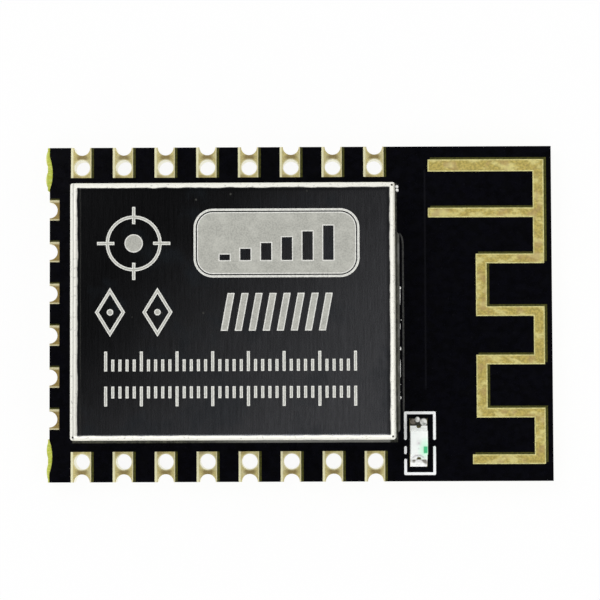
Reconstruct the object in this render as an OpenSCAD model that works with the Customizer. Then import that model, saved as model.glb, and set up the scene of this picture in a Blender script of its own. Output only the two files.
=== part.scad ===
// Surface-mount 2.4 GHz radio module on a small board: plated edge pads on three sides,
// a folded shield can over the circuit, a meander antenna and one status lamp.
// The board lies flat in XY with the antenna at +X; Z = 0 is the underside.

/* [Board] */
// Thickness of the finished board, copper included
board_t = 0.8; // [0.6:0.05:1.6]
// Thickness of the copper on each face
copper_t = 0.035; // [0.03:0.005:0.07]
// Thickness of the black varnish on the top face
varnish_t = 0.025; // [0.015:0.005:0.03]
// Clear strip between the varnish on the underside and the board's edge
under_edge = 0.15; // [0.15:0.01:0.3]
// Thickness of the white legend print
legend_t = 0.012; // [0.005:0.001:0.03]
// Strip of board between the left edge and the shield can
can_edge_gap = 1.27; // [1.2:0.01:2]
// How far the shield can sits above the board's middle line
can_y = 0.05; // [0:0.01:0.08]
// Strip of board between the shield can and the right edge
antenna_zone = 7.58; // [7.4:0.02:10]

/* [Edge pads] */
// Distance between neighbouring pads
pad_pitch = 2; // [1.8:0.05:2.2]
// Pads along each long side
side_pads = 8; // [4:1:8]
// Pads along the left side
end_pads = 6; // [2:1:6]
// From the left edge to the centre of the first long-side pad
first_pad = 1.55; // [1.3:0.05:1.8]
// Diameter of the plated hole in each long-side pad
hole_d = 0.75; // [0.6:0.01:0.85]
// Diameter of the half-round notch at the board edge
notch_d = 0.76; // [0.6:0.02:0.84]
// Width of copper between notch and hole
neck = 0.21; // [0.15:0.01:0.4]
// Width of copper around the hole
ring_w = 0.11; // [0.08:0.005:0.2]
// How far the copper of the long-side pads sits left of their holes
pad_shift = 0.045; // [0:0.005:0.045]
// Width of copper behind the notch of a left-side pad
end_ring_w = 0.09; // [0.08:0.01:0.3]
// Thickness of the plating in holes and notches
plating_t = 0.03; // [0.02:0.005:0.05]

/* [Break-off burrs] */
// Length of board edge that each burr covers
burr_l = 2.05; // [1.6:0.05:2.2]
// How far the upper and the lower burr stand out at their two humps
burr_out = [0.19, 0.13]; // [0.1:0.01:0.3]
// How far they stand out between the humps
burr_low = [0.1, 0.07]; // [0.04:0.01:0.1]
// Length over which the varnish is torn back there
tear_l = 1.6; // [1.2:0.05:1.8]
// From the middle of the burr to the middle of the tear
tear_shift = 0.2; // [0:0.02:0.2]
// How far it is torn back from the edge
tear_out = 0.14; // [0.04:0.01:0.25]

/* [Antenna] */
// Width of the lower arm and of the rungs
trace_w = 0.46; // [0.4:0.02:0.6]
// Width of the spine and of the meander's legs
leg_w = 0.52; // [0.4:0.02:0.6]
// Width of the upper arm
upper_arm_w = 0.58; // [0.4:0.02:0.7]
// Length of the upper arm
arm_l = 5.54; // [5:0.02:5.8]
// Clear gap between the two arms
arm_gap = 1.74; // [1.2:0.02:1.8]
// Width of the meander
meander_l = 3.27; // [2.6:0.05:3.6]
// Length of the last rung
last_rung_l = 3.47; // [2.6:0.05:3.6]
// Drop from each rung of the meander to the next
rung_drops = [2.52, 2.31, 2.53, 2.21]; // [1.8:0.02:2.55]
// Clear strip between the antenna and the right edge
antenna_right = 0.36; // [0.2:0.02:0.6]
// Clear strip between the antenna and the upper edge
antenna_top = 0.63; // [0.4:0.01:0.8]
// Clear strip between the antenna and the lower edge
antenna_bottom = 0.81; // [0.6:0.01:1]

/* [Shield can] */
// Length of the can
can_l = 15.15; // [14:0.05:18]
// Width of the can
can_w = 12; // [11.5:0.1:14]
// Height of the can above the board
can_h = 2.2; // [2.15:0.05:3]
// Thickness of its sheet
sheet_t = 0.2; // [0.1:0.01:0.22]
// Outer radius of the folded edges
bend_r = 0.32; // [0.24:0.01:0.5]
// Width of the open slit at each corner
slit_w = 0.07; // [0.03:0.01:0.15]
// Radius of its upright corners
corner_r = 0.18; // [0.1:0.01:0.2]
// Diameter of the relief hole at a corner
relief_d = 0.1; // [0.08:0.01:0.14]
// Corners with a relief hole: right or left, upper or lower
relief_corners = [[1, 1], [1, -1], [-1, -1]];
// Clear gap between the can and the long-side pads
can_pad_gap = 0.55; // [0.3:0.005:1]
// Width of the ground copper inside the can's wall
land_in = 0.25; // [0.1:0.05:0.3]
// Width of the ground copper outside the can's wall
land_out = 0.19; // [0.06:0.01:0.2]
// Width of the wider ground copper along the can's right wall
strip_w = 0.3; // [0.2:0.02:0.5]
// Length of that wider copper
strip_l = 9.6; // [4:0.1:10]
// From the can's lower edge to the start of it
strip_start = 0.25; // [0:0.05:1]
// Radius of that copper's two outer corners
strip_corner_r = 0.2; // [0.1:0.02:0.2]
// Height of the solder on the can's walls
solder_h = 0.14; // [0.05:0.01:0.3]
// Height of the solder along the right wall
strip_solder_h = 0.34; // [0.1:0.02:0.5]
// Radius of the stray solder beads
bead_r = 0.08; // [0.05:0.01:0.12]
// Places of the beads, from the can's upper right corner
stray_beads = [[0.2, 0.02], [0.21, -0.15]]; // [-0.3:0.02:0.3]

/* [Can marking] */
// Thickness of the pale marking on the can
marking_t = 0.01; // [0.005:0.001:0.03]
// Line width of the marking
mark_w = 0.15; // [0.1:0.01:0.2]
// Outer diameter of the round target
target_d = 3.4; // [2.5:0.1:3.6]
// How far the target's cross reaches past its ring, and into it
cross_reach = 0.4; // [0.2:0.05:0.5]
// Diameter of the round dot in the target
bull_d = 0.85; // [0.4:0.05:1]
// Width of each diamond
diamond_w = 1.4; // [1:0.1:1.8]
// Distance between the two diamonds
diamond_step = 2.2; // [2:0.1:2.6]
// Height of each diamond
diamond_h = 2.28; // [1.6:0.02:2.6]
// Length of the badge
badge_l = 7.7; // [6:0.1:8]
// Height of the badge
badge_w = 3.2; // [2.8:0.1:3.4]
// Corner radius of the badge
badge_r = 0.9; // [0.5:0.05:1.2]
// Line width of the badge's outline
badge_line = 0.1; // [0.06:0.01:0.15]
// Clear gap between the badge and its outline
badge_gap = 0.06; // [0.03:0.01:0.15]
// Number of bars left clear in the badge
badge_bars = 6; // [3:1:8]
// Height of the tallest of them
badge_bar_h = 1.6; // [1:0.05:1.8]
// Height of the slanted bars
bars_h = 1.75; // [1.2:0.05:2]
// Length of the row of slanted bars
bars_l = 5.2; // [4:0.1:6]
// Number of slanted bars
bar_n = 8; // [4:1:10]
// Length of each row of ticks
scale_l = 11.9; // [8:0.1:12.4]
// Height of the longest ticks
tick_h = 0.92; // [0.5:0.02:1]
// Height of the short ticks
short_tick_h = 0.55; // [0.3:0.05:1]
// Width of each tick
tick_w = 0.14; // [0.1:0.01:0.2]
// One tick in this many is long
long_every = 5; // [2:1:10]
// Number of ticks in a row
tick_n = 36; // [20:1:44]
// Heights of the four rows of marking, from the can's middle
mark_rows = [3.15, -0.05, -2.33, -3.95]; // [-4.2:0.05:3.4]
// Place of the left group of marking, from the can's middle
left_mark_x = -4.58; // [-5:0.05:-4.4]
// Place of the right group of marking
right_mark_x = 2.05; // [1.6:0.05:2.6]

/* [Status lamp] */
// Length of the lamp
lamp_l = 1.6; // [1.4:0.05:1.8]
// Width of the lamp
lamp_w = 0.8; // [0.7:0.02:0.9]
// Thickness of its base
lamp_base_t = 0.3; // [0.2:0.02:0.4]
// Height of the clear lens above the base
lens_h = 0.3; // [0.2:0.02:0.5]
// Length of the lens
lens_l = 1.2; // [0.9:0.05:1.25]
// Thickness of the metal on the lamp's ends
terminal_t = 0.03; // [0.02:0.005:0.04]
// Length of board covered by solder beyond each end of the lamp
lamp_solder_l = 0.35; // [0.15:0.01:0.4]
// Lumps in the solder at the lamp's upper end: place across, place beyond the end, radius
solder_lumps = [[-0.27, 0.22, 0.12], [-0.05, 0.32, 0.11], [0.24, 0.2, 0.15]];
// Length of the metal foot under each end of the lamp
foot_plate_l = 0.3; // [0.2:0.02:0.4]
// Radius of the half-round notch in each end
lamp_notch_r = 0.12; // [0.08:0.01:0.18]
// Slope of the lens at its ends
lens_slope = 0.06; // [0.02:0.01:0.12]
// Side of the light-giving die
die_l = 0.26; // [0.15:0.01:0.35]
// Height of the die
die_t = 0.1; // [0.05:0.01:0.15]
// Width of the green mark beside the die
green_w = 0.18; // [0.1:0.01:0.22]
// Length of the green mark
green_l = 0.32; // [0.2:0.01:0.4]
// Clear strip between the mark and the lens's side
green_inset = 0.02; // [0.01:0.01:0.05]
// Place of the mark along the lamp, from its middle
green_y = -0.33; // [-0.4:0.01:0.4]
// Copper beside each end of the lamp
lamp_land_side = 0.02; // [0.02:0.01:0.1]
// Place of the lamp in its frame, from the frame's middle
lamp_shift = [-0.07, 0.04]; // [-0.1:0.01:0.1]
// Length of the white frame around the lamp
frame_l = 3.02; // [2.9:0.02:3.3]
// Width of the white frame
frame_w = 1.51; // [1.4:0.01:1.8]
// Line width of the frame
frame_line = 0.13; // [0.1:0.01:0.2]
// Clear strip between the frame and the lower edge of the board
frame_edge = 0.3; // [0.2:0.01:0.6]
// Clear gap between the frame and what lies left of it
frame_gap = 0.18; // [0.02:0.01:0.3]
// Ends of the breaks in the frame's long lines, from the frame's middle
frame_breaks = [0.22, -0.2, -0.45, -0.8]; // [-1:0.02:0.6]

/* [Parts under the can] */
// Clear gap kept between parts
part_gap = 0.45; // [0.3:0.05:0.5]
// Side of the square radio chip
radio_l = 5; // [4:0.1:5.4]
// Thickness of the radio chip
radio_t = 0.85; // [0.5:0.05:1]
// Terminals along each side of the radio chip
radio_pins = 8; // [4:1:9]
// Distance between neighbouring terminals of the radio chip
radio_pin_pitch = 0.5; // [0.4:0.05:0.55]
// Width of a terminal of the radio chip
radio_pin_w = 0.25; // [0.18:0.01:0.3]
// Length of a terminal of the radio chip
radio_pin_l = 0.4; // [0.3:0.02:0.45]
// Side of the square pad under the radio chip
radio_pad_l = 3.5; // [2:0.1:3.7]
// Length of the memory chip's body, along the board
memory_l = 5.23; // [4.6:0.05:5.6]
// Width of the memory chip's body
memory_w = 5.28; // [4.6:0.05:5.6]
// Thickness of the memory chip's body
memory_t = 1.75; // [1.2:0.05:1.8]
// Width of the memory chip over its leads
memory_span = 7.9; // [7.6:0.1:8.4]
// Distance between neighbouring leads
lead_pitch = 1.27; // [1:0.01:1.4]
// Width of a lead
lead_w = 0.42; // [0.3:0.02:0.5]
// Thickness of a lead
lead_t = 0.2; // [0.15:0.01:0.25]
// Length of a lead's level shoulder and slope
lead_rise_l = 0.6; // [0.4:0.05:0.7]
// Radius of the first-terminal mark on both chips
dimple_r = 0.2; // [0.1:0.02:0.3]
// From the chip's edges to the middle of that mark
dimple_inset = 0.4; // [0.35:0.05:0.8]
// Depth of that mark
dimple_depth = 0.05; // [0.02:0.01:0.1]
// Length of the crystal
crystal_l = 3.2; // [2.5:0.1:3.6]
// Width of the crystal
crystal_w = 2.5; // [2:0.1:2.8]
// Thickness of the crystal's ceramic base
crystal_base_t = 0.5; // [0.3:0.05:0.6]
// Thickness of the crystal's metal lid
crystal_lid_t = 0.22; // [0.1:0.02:0.3]
// Step from the base's edge to the lid's edge
lid_inset = 0.2; // [0.1:0.02:0.3]
// Side of the square pads under the crystal
crystal_pad_l = 0.9; // [0.6:0.05:1]
// Length of a chip capacitor, resistor or inductor
chip_l = 1; // [0.9:0.02:1.1]
// Width of a chip capacitor, resistor or inductor
chip_w = 0.5; // [0.4:0.02:0.55]
// Length of the metal cap on each end of it
chip_cap = 0.25; // [0.15:0.01:0.3]
// Step from the end caps down to the body
cap_step = 0.02; // [0.01:0.005:0.04]
// Thickness of a chip resistor
resistor_t = 0.35; // [0.25:0.01:0.45]
// Copper in front of each soldered end
land_toe = 0.1; // [0.05:0.01:0.15]

/* [Hidden] */
$fn = 48;
EPS = 0.05;

// Board outline and its edges
pad_w = hole_d + 2 * ring_w;
hole_inset = notch_d / 2 + neck + hole_d / 2;
side_pad_l = hole_inset + hole_d / 2 + ring_w;
end_pad_l = notch_d / 2 + end_ring_w;
board_l = can_edge_gap + can_l + antenna_zone;
board_w = can_w + 2 * (can_pad_gap + side_pad_l);
right_x = board_l / 2;
upper_y = board_w / 2;
core_t = board_t - 2 * copper_t;
top_copper_z = board_t - copper_t;
varnish_z = top_copper_z + varnish_t;

// Antenna
antenna_x = right_x - antenna_right;
antenna_upper_y = upper_y - antenna_top;
antenna_lower_y = antenna_bottom - upper_y;
rungs = len(rung_drops);
function drop_below(i) = i < rungs ? rung_drops[i] + drop_below(i + 1) : 0;
function rung_y(i) = antenna_lower_y + drop_below(i);

// Shield can
can_x = can_edge_gap + can_l / 2 - right_x;
can_right_x = can_x + can_l / 2;
can_top_z = board_t + can_h;
inner_l = can_l - 2 * sheet_t;
inner_w = can_w - 2 * sheet_t;
solder_lip = 0.015;
solder_sag = 0.12;

// Status lamp and its frame
last_pad_x = first_pad + (side_pads - 1) * pad_pitch + pad_w / 2 - right_x;
frame_x = max(can_right_x + strip_w, last_pad_x) + frame_gap + frame_w / 2;
frame_y = frame_edge + frame_l / 2 - upper_y;
lamp_x = frame_x + lamp_shift[0];
lamp_y = frame_y + lamp_shift[1];
end_plate_l = (lamp_l - lens_l) / 2;

// Parts under the can, laid out from its inner faces
inner_left_x = can_x - inner_l / 2;
memory_x = inner_left_x + part_gap + memory_l / 2;
column_x = memory_x + memory_l / 2 + part_gap + chip_l / 2;
radio_x = column_x + chip_l / 2 + part_gap + radio_l / 2;
edge_row_y = inner_w / 2 - part_gap - chip_w / 2;
radio_y = edge_row_y - chip_w / 2 - part_gap - radio_l / 2;
right_row_x = radio_x + radio_l / 2 + part_gap + chip_w / 2;
crystal_y = radio_y - radio_l / 2 - part_gap - crystal_w / 2;
coil_x = radio_x + crystal_l / 2 + part_gap + chip_l / 2;
long_step = chip_l + part_gap;
short_step = chip_w + part_gap;

// Each chip part is [x, y, turn]
capacitors = concat(
    [for (i = [-1.5:1.5]) [radio_x + i * long_step, edge_row_y, 0]],
    [for (i = [0:1]) [column_x, crystal_y + i * short_step, 0]],
    [[memory_x, edge_row_y, 0]]
);
resistors = concat(
    [for (i = [-1:1]) [right_row_x, radio_y + i * long_step, 90]],
    [[column_x, crystal_y - short_step, 0]]
);
coils = [for (i = [-0.5, 0.5]) [coil_x, crystal_y + i * short_step, 0]];
chip_parts = concat(capacitors, resistors, coils);

// Node names
function numbered(name, n) = [for (i = [1:n]) str(name, i < 10 ? "_0" : "_", i)];
holed_pad_names = numbered("holed_pad", 2 * side_pads);
end_pad_names = numbered("end_pad", end_pads);
capacitor_names = numbered("capacitor", len(capacitors));
resistor_names = numbered("resistor", len(resistors));
coil_names = numbered("coil", len(coils));

// ---------- shared shapes ----------

// A flat shape made into a layer from height z
module layer(z, thickness) {
    translate([0, 0, z]) linear_extrude(thickness) children();
}

// A block centred in X and Y, standing at height z
module block(size, z = 0) {
    translate([-size[0] / 2, -size[1] / 2, z]) cube(size);
}

// A rectangle with round corners, centred
module rounded(size, r) {
    square([size[0] - 2 * r, size[1]], center = true);
    square([size[0], size[1] - 2 * r], center = true);
    for (x = [-1, 1], y = [-1, 1])
        translate([x * (size[0] / 2 - r), y * (size[1] / 2 - r)]) circle(r);
}

// A line between two points with round ends
module pen_line(a, b, w) {
    d = b - a;
    translate(a) rotate(atan2(d[1], d[0])) translate([0, -w / 2]) square([norm(d), w]);
    for (p = [a, b]) translate(p) circle(d = w);
}

// A low arc standing h out of the line x = 0 towards -X, on a chord of length l
module bulge(l, h) {
    r = (l * l / 4 + h * h) / (2 * h);
    intersection() {
        translate([r - h, 0]) circle(r);
        translate([-h, -l / 2]) square([h + EPS, l]);
    }
}

// The hollow section of a solder fillet that runs up a wall at x = 0
module fillet_section(w, h) {
    tip = [w, solder_lip];
    top = [solder_lip, h];
    chord = norm(tip - top);
    sag = solder_sag * chord;
    r = (chord * chord / 4 + sag * sag) / (2 * sag);
    out = [h - solder_lip, w - solder_lip] / chord;
    difference() {
        polygon([[0, 0], [w, 0], tip, top, [0, h]]);
        translate((tip + top) / 2 + out * (r - sag)) circle(r);
    }
}

// The upper half of a ball
module dome(r) {
    intersection() {
        sphere(r = r);
        block([3 * r, 3 * r, 2 * r]);
    }
}

// ---------- bare board ----------

module board_area() {
    square([board_l, board_w], center = true);
}

// Places a long-side pad with its edge on the board's edge and its body inwards
module at_side_pad(i) {
    column = i % side_pads;
    upper = i < side_pads;
    translate([first_pad + column * pad_pitch - right_x, upper ? upper_y : -upper_y])
        mirror([0, upper ? 1 : 0, 0]) children();
}

// Places a left-side pad the same way
module at_end_pad(i) {
    translate([-right_x, ((end_pads - 1) / 2 - i) * pad_pitch]) rotate(-90) children();
}

// Places something at the middle of a break-off burr: 0 is the upper left one, 1 the lower left
module at_burr(lower) {
    mirror([0, lower, 0]) translate([-right_x, upper_y - burr_l / 2]) children();
}

// Raw board left standing out of the edge where the module was snapped from its panel
module burr(lower) {
    translate([-burr_low[lower], -burr_l / 2]) square([burr_low[lower] + EPS, burr_l]);
    for (y = [-1, 1]) translate([0, y * burr_l / 4]) bulge(burr_l / 2, burr_out[lower]);
}

module pad_area(l, shift = 0) {
    translate([-pad_w / 2 - shift, 0]) square([pad_w, l]);
}

module pad_areas() {
    for (i = [0:2 * side_pads - 1]) at_side_pad(i) pad_area(side_pad_l, pad_shift);
    for (i = [0:end_pads - 1]) at_end_pad(i) pad_area(end_pad_l);
}

// Holes and notches as drilled, before plating
module drillings() {
    for (i = [0:2 * side_pads - 1]) at_side_pad(i) {
        circle(d = notch_d + 2 * plating_t);
        translate([0, hole_inset]) circle(d = hole_d + 2 * plating_t);
    }
    for (i = [0:end_pads - 1]) at_end_pad(i) circle(d = notch_d + 2 * plating_t);
}

module laminate() {
    color("olivedrab") layer(copper_t, core_t) difference() {
        union() {
            board_area();
            for (lower = [0, 1]) at_burr(lower) burr(lower);
        }
        drillings();
    }
}

module varnished_area() {
    difference() {
        board_area();
        pad_areas();
        for (lower = [0, 1])
            at_burr(lower) translate([0, -tear_shift]) mirror([1, 0, 0]) bulge(tear_l, tear_out);
    }
}

module top_varnish() {
    color("black") layer(top_copper_z, varnish_t) difference() {
        varnished_area();
        antenna_area();
        ground_area();
        lamp_land_area();
        circuit_land_area();
    }
}

module bottom_varnish() {
    color("black") layer(0, copper_t) intersection() {
        varnished_area();
        square([board_l - 2 * under_edge, board_w - 2 * under_edge], center = true);
    }
}

// ---------- edge pads ----------

// A pad folded round the board's edge by its plated notch, with a plated hole if holed
module plated_pad(l, shift, holed) {
    color("khaki") difference() {
        union() {
            for (z = [0, top_copper_z]) layer(z, copper_t) pad_area(l, shift);
            intersection() {
                cylinder(d = notch_d + 2 * plating_t, h = board_t);
                layer(0, board_t) pad_area(l, shift);
            }
            if (holed) translate([0, hole_inset, 0]) cylinder(d = hole_d + 2 * plating_t, h = board_t);
        }
        translate([0, 0, -EPS]) cylinder(d = notch_d, h = board_t + 2 * EPS);
        if (holed) translate([0, hole_inset, -EPS]) cylinder(d = hole_d, h = board_t + 2 * EPS);
    }
}

module holed_pad(i) {
    at_side_pad(i) plated_pad(side_pad_l, pad_shift, true);
}

module end_pad(i) {
    at_end_pad(i) plated_pad(end_pad_l, 0, false);
}

// ---------- antenna ----------

module antenna_area() {
    lower_arm_y = antenna_upper_y - upper_arm_w - arm_gap - trace_w;
    translate([antenna_x - arm_l, antenna_upper_y - upper_arm_w]) square([arm_l, upper_arm_w]);
    translate([antenna_x - arm_l, lower_arm_y]) square([arm_l, trace_w]);
    translate([antenna_x - leg_w, rung_y(0)]) square([leg_w, antenna_upper_y - rung_y(0)]);
    for (i = [0:rungs]) {
        l = i < rungs ? meander_l : last_rung_l;
        translate([antenna_x - l, rung_y(i)]) square([l, trace_w]);
    }
    for (i = [0:rungs - 1]) {
        leg_x = i % 2 == 0 ? antenna_x - meander_l : antenna_x - leg_w;
        translate([leg_x, rung_y(i + 1)]) square([leg_w, rung_drops[i] + trace_w]);
    }
}

module antenna_trace() {
    color("tan") layer(top_copper_z, copper_t) antenna_area();
}

// ---------- shield can ----------

// The wide copper along the can's right wall, its outer corners rounded
module strip_area() {
    translate([can_right_x, can_y + strip_start - can_w / 2]) intersection() {
        square([strip_w, strip_l]);
        translate([0, strip_l / 2]) rounded([2 * strip_w, strip_l], strip_corner_r);
    }
}

module ground_area() {
    inside = 2 * (sheet_t + land_in);
    translate([can_x, can_y]) difference() {
        square([can_l + 2 * land_out, can_w + 2 * land_out], center = true);
        square([can_l - inside, can_w - inside], center = true);
    }
    strip_area();
}

module ground_land() {
    color("tan") layer(top_copper_z, copper_t) ground_area();
}

// Section of a folded sheet: a box open below, its upper edges rounded
module fold_section(w, h, r) {
    translate([-w / 2, -EPS]) square([w, h - r + EPS]);
    translate([r - w / 2, 0]) square([w - 2 * r, h]);
    for (x = [-1, 1]) translate([x * (w / 2 - r), h - r]) circle(r);
}

// A box with its four upper edges rounded, reaching a little below the board
module folded_box(l, w, h, r) {
    intersection() {
        rotate([90, 0, 0]) linear_extrude(w, center = true) fold_section(l, h, r);
        rotate([90, 0, 90]) linear_extrude(l, center = true) fold_section(w, h, r);
    }
}

module shield_can() {
    corner_x = can_l / 2 - bend_r / 2;
    corner_y = can_w / 2 - bend_r / 2;
    color("silver") translate([can_x, can_y, board_t]) difference() {
        intersection() {
            folded_box(can_l, can_w, can_h, bend_r);
            layer(-EPS, can_h + 2 * EPS) rounded([can_l, can_w], corner_r);
        }
        folded_box(inner_l, inner_w, can_h - sheet_t, bend_r - sheet_t);
        block([2 * can_l, 2 * can_w, can_h], -can_h);
        for (x = [-1, 1], y = [-1, 1])
            translate([x * (can_l - sheet_t) / 2, y * (inner_w - slit_w) / 2, -EPS])
                block([sheet_t + 2 * EPS, slit_w, can_h - bend_r + EPS]);
        for (corner = relief_corners)
            translate([corner[0] * corner_x, corner[1] * corner_y, 0])
                cylinder(d = relief_d, h = can_h + EPS);
    }
}

module can_solder() {
    color("dimgray") translate([can_x, can_y, board_t]) {
        // along the lower wall and the left wall
        for (side = [[0, can_w / 2, can_l], [90, can_l / 2, can_w]])
            rotate(-side[0]) translate([0, -side[1], 0])
                rotate([90, 0, -90]) linear_extrude(side[2] - 2 * corner_r, center = true)
                    fillet_section(land_out, solder_h);
    }
    color("dimgray") intersection() {
        layer(board_t, strip_solder_h) strip_area();
        translate([can_right_x, can_y + strip_start + strip_l - can_w / 2, board_t])
            rotate([90, 0, 0]) linear_extrude(strip_l) fillet_section(strip_w, strip_solder_h);
    }
    // two stray beads near the upper right corner
    color("silver") translate([can_right_x, can_y + can_w / 2, board_t])
        for (bead = stray_beads) translate(bead) dome(bead_r);
}

// ---------- marking on the can ----------

// A ring with a cross that reaches past it
module target() {
    ring_d = target_d - 2 * cross_reach;
    arm_start = ring_d / 2 - cross_reach;
    difference() {
        circle(d = ring_d);
        circle(d = ring_d - 2 * mark_w);
    }
    for (turn = [0:90:270]) rotate(turn)
        translate([arm_start, -mark_w / 2]) square([target_d / 2 - arm_start, mark_w]);
    circle(d = bull_d);
}

// A filled badge inside a thin line, with a row of rising bars left clear
module badge() {
    inset = 2 * (badge_line + badge_gap);
    bar_step = badge_l / (badge_bars + 2);
    difference() {
        rounded([badge_l, badge_w], badge_r);
        rounded([badge_l - 2 * badge_line, badge_w - 2 * badge_line], badge_r - badge_line);
    }
    difference() {
        rounded([badge_l - inset, badge_w - inset], badge_r - inset / 2);
        for (i = [1:badge_bars])
            translate([(i - (badge_bars + 1) / 2) * bar_step - bar_step / 4, -badge_bar_h / 2])
                square([bar_step / 2, badge_bar_h * i / badge_bars]);
    }
}

// An upright diamond drawn with a line, and a dot in it
module diamond() {
    w = diamond_w;
    h = diamond_h;
    shrink = 1 - 2 * mark_w * norm([w, h]) / (w * h);
    difference() {
        polygon([[w / 2, 0], [0, h / 2], [-w / 2, 0], [0, -h / 2]]);
        scale(shrink) polygon([[w / 2, 0], [0, h / 2], [-w / 2, 0], [0, -h / 2]]);
    }
    circle(d = 2 * mark_w);
}

// A row of slanted bars
module slanted_bars() {
    step = bars_l / bar_n;
    for (i = [0:bar_n - 1]) translate([i * step - bars_l / 2, -bars_h / 2])
        polygon([[0, 0], [step / 2, 0], [step, bars_h], [step / 2, bars_h]]);
}

// A row of ticks, some of them longer, standing on the line y = 0
module ticks() {
    step = scale_l / tick_n;
    for (i = [0:tick_n - 1])
        translate([i * step - scale_l / 2, 0])
            square([tick_w, i % long_every == 0 ? tick_h : short_tick_h]);
}

module can_marking() {
    color("gainsboro") translate([can_x, can_y, 0]) layer(can_top_z, marking_t) {
        translate([left_mark_x, mark_rows[0]]) target();
        translate([right_mark_x, mark_rows[0]]) badge();
        for (x = [-1, 1]) translate([left_mark_x + x * diamond_step / 2, mark_rows[1]]) diamond();
        translate([right_mark_x, mark_rows[1]]) slanted_bars();
        translate([0, mark_rows[2] - tick_h / 2]) ticks();
        translate([0, mark_rows[3] + tick_h / 2]) mirror([0, 1, 0]) ticks();
    }
}

// ---------- legend print ----------

// The lamp's frame: two brackets, and a dash in the gap on the left
module legend_print() {
    x = (frame_w - frame_line) / 2;
    y = (frame_l - frame_line) / 2;
    color("white") translate([frame_x, frame_y]) layer(varnish_z, legend_t) {
        pen_line([-x, y], [x, y], frame_line);
        pen_line([-x, y], [-x, frame_breaks[0]], frame_line);
        pen_line([x, y], [x, frame_breaks[0]], frame_line);
        pen_line([-x, -y], [x, -y], frame_line);
        pen_line([-x, -y], [-x, frame_breaks[3]], frame_line);
        pen_line([x, -y], [x, frame_breaks[1]], frame_line);
        pen_line([-x, frame_breaks[1]], [-x, frame_breaks[2]], frame_line);
    }
}

// ---------- status lamp ----------

// Places something at each end of the lamp, its outward direction along +Y
module at_lamp_ends() {
    for (turn = [0, 180])
        translate([lamp_x, lamp_y, 0]) rotate(turn) translate([0, lamp_l / 2, 0]) children();
}

module lamp_land_area() {
    at_lamp_ends() translate([-lamp_w / 2 - lamp_land_side, -foot_plate_l])
        square([lamp_w + 2 * lamp_land_side, foot_plate_l + lamp_solder_l]);
}

module lamp_lands() {
    color("tan") layer(top_copper_z, copper_t) lamp_land_area();
}

// Metal on one end of the base: foot, end face and upper strip, with a half-round notch
module lamp_terminal() {
    difference() {
        union() {
            translate([0, -foot_plate_l / 2, board_t]) block([lamp_w, foot_plate_l, terminal_t]);
            translate([0, -terminal_t / 2, board_t]) block([lamp_w, terminal_t, lamp_base_t]);
            translate([0, -end_plate_l / 2, board_t + lamp_base_t - terminal_t])
                block([lamp_w, end_plate_l, terminal_t]);
        }
        translate([0, 0, board_t - EPS]) cylinder(r = lamp_notch_r, h = lamp_base_t + 2 * EPS);
    }
}

module lamp_terminals() {
    color("gainsboro") at_lamp_ends() lamp_terminal();
}

module lamp_base() {
    color("white") difference() {
        translate([lamp_x, lamp_y, board_t]) block([lamp_w, lamp_l, lamp_base_t]);
        at_lamp_ends() {
            lamp_terminal();
            translate([0, 0, board_t - EPS]) cylinder(r = lamp_notch_r, h = lamp_base_t + 2 * EPS);
        }
    }
}

module lamp_die() {
    color("gray") translate([lamp_x, lamp_y, board_t + lamp_base_t]) block([die_l, die_l, die_t]);
}

module lamp_mark() {
    x = lamp_x + (lamp_w - green_w) / 2 - green_inset;
    color("mediumseagreen") translate([x, lamp_y + green_y, board_t + lamp_base_t])
        block([green_w, green_l, marking_t]);
}

// The clear lens over die and mark, its ends sloping
module lamp_lens() {
    color("aliceblue") difference() {
        translate([lamp_x, lamp_y, board_t + lamp_base_t]) rotate([90, 0, 90])
            linear_extrude(lamp_w, center = true) polygon([
                [-lens_l / 2, 0], [lens_l / 2, 0],
                [lens_l / 2 - lens_slope, lens_h], [lens_slope - lens_l / 2, lens_h]
            ]);
        lamp_die();
        lamp_mark();
    }
}

// Solder up each end of the lamp, with round lumps at the upper end
module lamp_solder() {
    color("silver") at_lamp_ends() translate([0, 0, board_t]) rotate([90, 0, 90])
        linear_extrude(lamp_w, center = true) fillet_section(lamp_solder_l, lamp_base_t);
    color("silver") translate([lamp_x, lamp_y + lamp_l / 2, board_t])
        for (lump = solder_lumps) translate([lump[0], lump[1]]) dome(lump[2]);
}

// ---------- parts under the can ----------

module at_chip(part) {
    translate([part[0], part[1], 0]) rotate(part[2]) children();
}

// Places something at each terminal of the radio chip, its outward direction along +Y
module at_radio_pins() {
    for (turn = [0:90:270], i = [0:radio_pins - 1])
        translate([radio_x, radio_y, 0]) rotate(turn)
            translate([(i - (radio_pins - 1) / 2) * radio_pin_pitch, radio_l / 2, 0]) children();
}

// Places something at each lead of the memory chip, its outward direction along +Y
module at_memory_leads() {
    for (turn = [0, 180], i = [-1.5:1.5])
        translate([memory_x, 0, 0]) rotate(turn)
            translate([i * lead_pitch, memory_w / 2, 0]) children();
}

module circuit_land_area() {
    for (part = chip_parts) at_chip(part) for (x = [-1, 1])
        translate([x * (chip_l - chip_cap + land_toe) / 2, 0])
            square([chip_cap + land_toe, chip_w + land_toe], center = true);
    at_radio_pins() translate([-radio_pin_w / 2, -radio_pin_l])
        square([radio_pin_w, radio_pin_l + land_toe]);
    translate([radio_x, radio_y]) square(radio_pad_l, center = true);
    at_memory_leads() translate([-lead_w / 2, lead_rise_l])
        square([lead_w, (memory_span - memory_w) / 2 - lead_rise_l + land_toe]);
    translate([radio_x, crystal_y]) for (x = [-1, 1], y = [-1, 1])
        translate([x * (crystal_l - crystal_pad_l), y * (crystal_w - crystal_pad_l)] / 2)
            square(crystal_pad_l, center = true);
}

module circuit_lands() {
    color("tan") layer(top_copper_z, copper_t) circuit_land_area();
}

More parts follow.
